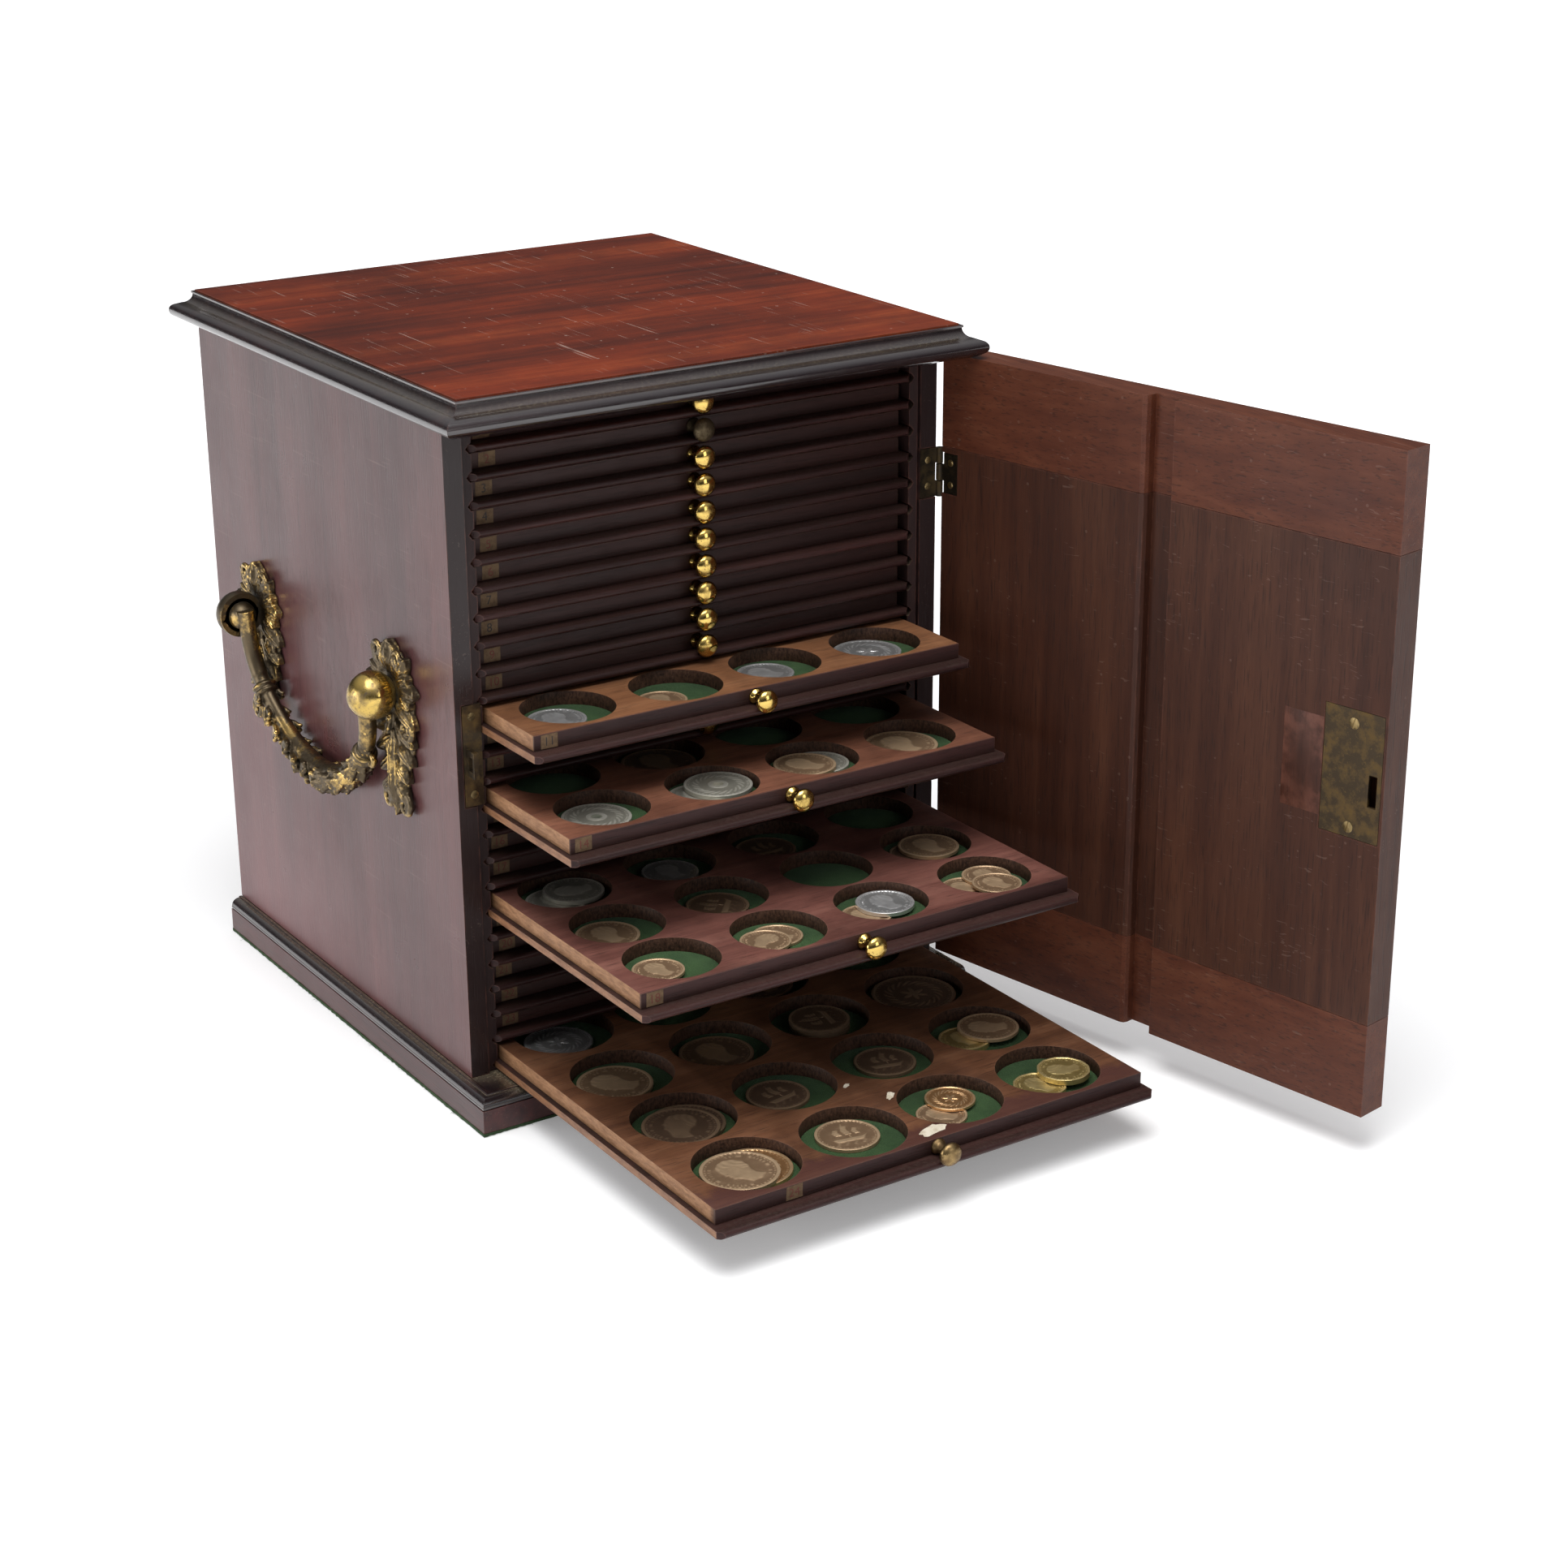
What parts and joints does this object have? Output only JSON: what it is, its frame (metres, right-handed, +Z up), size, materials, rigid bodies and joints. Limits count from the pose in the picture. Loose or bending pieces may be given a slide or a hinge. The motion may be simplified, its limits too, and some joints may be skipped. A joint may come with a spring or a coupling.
{
  "type": "coin collector's cabinet",
  "caption": "Table-top wooden coin cabinet with a hinged locking door, sliding trays bored with round coin recesses, and brass drop handles.",
  "frame": {"origin": "middle of the underside of the plinth's baize", "axes": "+Z up, the trays slide out along -Y, +X to the right as seen from the front"},
  "size_m": [0.3088, 0.4655, 0.3005],
  "materials": {
    "case_mahogany": "polished mahogany with a hazy, worn wax finish",
    "dark_mahogany": "dark stained mahogany moulding, dusty in its hollows",
    "top_mahogany": "french-polished red mahogany",
    "door_mahogany": "oiled mahogany, unpolished inside",
    "tray_mahogany": "plain sanded mahogany",
    "tray_base_mahogany": "dark waxed mahogany lip on a thin board",
    "secondary_wood": "plain secondary timber",
    "green_baize": "green wool baize",
    "polished_brass": "polished lacquered brass, worn",
    "old_brass": "brass with a dull brown patina"
  },
  "bodies": {
    "cabinet": {"top_board": "top_mahogany", "top_moulding": "dark_mahogany", "left_side": "case_mahogany", "right_side": "case_mahogany", "back_panel": "secondary_wood", "bottom_board": "dark_mahogany", "plinth": "dark_mahogany", "base_moulding": "dark_mahogany", "base_baize": "green_baize", "left_runner": "dark_mahogany", "right_runner": "dark_mahogany", "strike_plate": "old_brass", "hinge_upper_fixed_leaf": "old_brass", "hinge_lower_fixed_leaf": "old_brass", "handle_left_rosette_front": "polished_brass", "handle_left_rosette_back": "polished_brass", "handle_right_rosette_front": "polished_brass", "handle_right_rosette_back": "polished_brass"},
    "door": {"door_board": "door_mahogany", "door_clamp_top": "door_mahogany", "door_clamp_bottom": "door_mahogany", "lock_plate": "old_brass", "hinge_upper_door_leaf": "old_brass", "hinge_lower_door_leaf": "old_brass", "keyhole_escutcheon": "polished_brass"},
    "bolt": {"lock_bolt": "polished_brass"},
    "left_bail": {"handle_left_bail": "polished_brass"},
    "right_bail": {"handle_right_bail": "polished_brass"},
    "tray_01": {"tray_01": "tray_base_mahogany"},
    "tray_02": {"tray_02": "tray_base_mahogany"},
    "tray_03": {"tray_03": "tray_base_mahogany"},
    "tray_04": {"tray_04": "tray_base_mahogany"},
    "tray_05": {"tray_05": "tray_base_mahogany"},
    "tray_06": {"tray_06": "tray_base_mahogany"},
    "tray_07": {"tray_07": "tray_base_mahogany"},
    "tray_08": {"tray_08": "tray_base_mahogany"},
    "tray_09": {"tray_09": "tray_base_mahogany"},
    "tray_10": {"tray_10": "tray_base_mahogany"},
    "tray_11": {"tray_11_base": "tray_base_mahogany", "tray_11_board": "tray_mahogany", "tray_11_knob": "polished_brass"},
    "tray_12": {"tray_12": "tray_base_mahogany"},
    "tray_13": {"tray_13": "tray_base_mahogany"},
    "tray_14": {"tray_14_base": "tray_base_mahogany", "tray_14_board": "tray_mahogany", "tray_14_knob": "polished_brass"},
    "tray_15": {"tray_15": "tray_base_mahogany"},
    "tray_16": {"tray_16": "tray_base_mahogany"},
    "tray_17": {"tray_17": "tray_base_mahogany"},
    "tray_18": {"tray_18_base": "tray_base_mahogany", "tray_18_board": "tray_mahogany", "tray_18_knob": "polished_brass"},
    "tray_19": {"tray_19": "tray_base_mahogany"},
    "tray_20": {"tray_20": "tray_base_mahogany"},
    "tray_21": {"tray_21": "tray_base_mahogany"},
    "tray_22": {"tray_22": "tray_base_mahogany"},
    "tray_23": {"tray_23": "tray_base_mahogany"},
    "tray_24": {"tray_24_base": "tray_base_mahogany", "tray_24_board": "tray_mahogany", "tray_24_knob": "polished_brass"}
  },
  "joints": [
    {"name": "door_hinge", "type": "hinge", "parent": "cabinet", "child": "door", "pos_m": [0.1161, -0.1051, 0.15], "axis": [0, 0, 1], "range_deg": [-12.5, 79.2]},
    {"name": "lock_bolt_slide", "type": "slide", "parent": "door", "child": "bolt", "axis": [0.1874, -0.9823, 0], "range_m": [0, 0.0068]},
    {"name": "left_bail_swing", "type": "hinge", "parent": "cabinet", "child": "left_bail", "pos_m": [-0.126, 0.0099, 0.169], "axis": [0, 1, 0], "range_deg": [0, 100]},
    {"name": "right_bail_swing", "type": "hinge", "parent": "cabinet", "child": "right_bail", "pos_m": [0.126, 0.0099, 0.169], "axis": [0, -1, 0], "range_deg": [0, 100]},
    {"name": "tray_01_slide", "type": "slide", "parent": "cabinet", "child": "tray_01", "axis": [0, -1, 0], "range_m": [0, 0.175]},
    {"name": "tray_02_slide", "type": "slide", "parent": "cabinet", "child": "tray_02", "axis": [0, -1, 0], "range_m": [0, 0.175]},
    {"name": "tray_03_slide", "type": "slide", "parent": "cabinet", "child": "tray_03", "axis": [0, -1, 0], "range_m": [0, 0.175]},
    {"name": "tray_04_slide", "type": "slide", "parent": "cabinet", "child": "tray_04", "axis": [0, -1, 0], "range_m": [0, 0.175]},
    {"name": "tray_05_slide", "type": "slide", "parent": "cabinet", "child": "tray_05", "axis": [0, -1, 0], "range_m": [0, 0.175]},
    {"name": "tray_06_slide", "type": "slide", "parent": "cabinet", "child": "tray_06", "axis": [0, -1, 0], "range_m": [0, 0.175]},
    {"name": "tray_07_slide", "type": "slide", "parent": "cabinet", "child": "tray_07", "axis": [0, -1, 0], "range_m": [0, 0.175]},
    {"name": "tray_08_slide", "type": "slide", "parent": "cabinet", "child": "tray_08", "axis": [0, -1, 0], "range_m": [0, 0.175]},
    {"name": "tray_09_slide", "type": "slide", "parent": "cabinet", "child": "tray_09", "axis": [0, -1, 0], "range_m": [0, 0.175]},
    {"name": "tray_10_slide", "type": "slide", "parent": "cabinet", "child": "tray_10", "axis": [0, -1, 0], "range_m": [0, 0.175]},
    {"name": "tray_11_slide", "type": "slide", "parent": "cabinet", "child": "tray_11", "axis": [0, -1, 0], "range_m": [-0.0443, 0.1307]},
    {"name": "tray_12_slide", "type": "slide", "parent": "cabinet", "child": "tray_12", "axis": [0, -1, 0], "range_m": [0, 0.175]},
    {"name": "tray_13_slide", "type": "slide", "parent": "cabinet", "child": "tray_13", "axis": [0, -1, 0], "range_m": [0, 0.175]},
    {"name": "tray_14_slide", "type": "slide", "parent": "cabinet", "child": "tray_14", "axis": [0, -1, 0], "range_m": [-0.0701, 0.1049]},
    {"name": "tray_15_slide", "type": "slide", "parent": "cabinet", "child": "tray_15", "axis": [0, -1, 0], "range_m": [0, 0.175]},
    {"name": "tray_16_slide", "type": "slide", "parent": "cabinet", "child": "tray_16", "axis": [0, -1, 0], "range_m": [0, 0.175]},
    {"name": "tray_17_slide", "type": "slide", "parent": "cabinet", "child": "tray_17", "axis": [0, -1, 0], "range_m": [0, 0.175]},
    {"name": "tray_18_slide", "type": "slide", "parent": "cabinet", "child": "tray_18", "axis": [0, -1, 0], "range_m": [-0.1203, 0.0547]},
    {"name": "tray_19_slide", "type": "slide", "parent": "cabinet", "child": "tray_19", "axis": [0, -1, 0], "range_m": [0, 0.175]},
    {"name": "tray_20_slide", "type": "slide", "parent": "cabinet", "child": "tray_20", "axis": [0, -1, 0], "range_m": [0, 0.175]},
    {"name": "tray_21_slide", "type": "slide", "parent": "cabinet", "child": "tray_21", "axis": [0, -1, 0], "range_m": [0, 0.175]},
    {"name": "tray_22_slide", "type": "slide", "parent": "cabinet", "child": "tray_22", "axis": [0, -1, 0], "range_m": [0, 0.175]},
    {"name": "tray_23_slide", "type": "slide", "parent": "cabinet", "child": "tray_23", "axis": [0, -1, 0], "range_m": [0, 0.175]},
    {"name": "tray_24_slide", "type": "slide", "parent": "cabinet", "child": "tray_24", "axis": [0, -1, 0], "range_m": [-0.1701, 0.0049]}
  ]
}
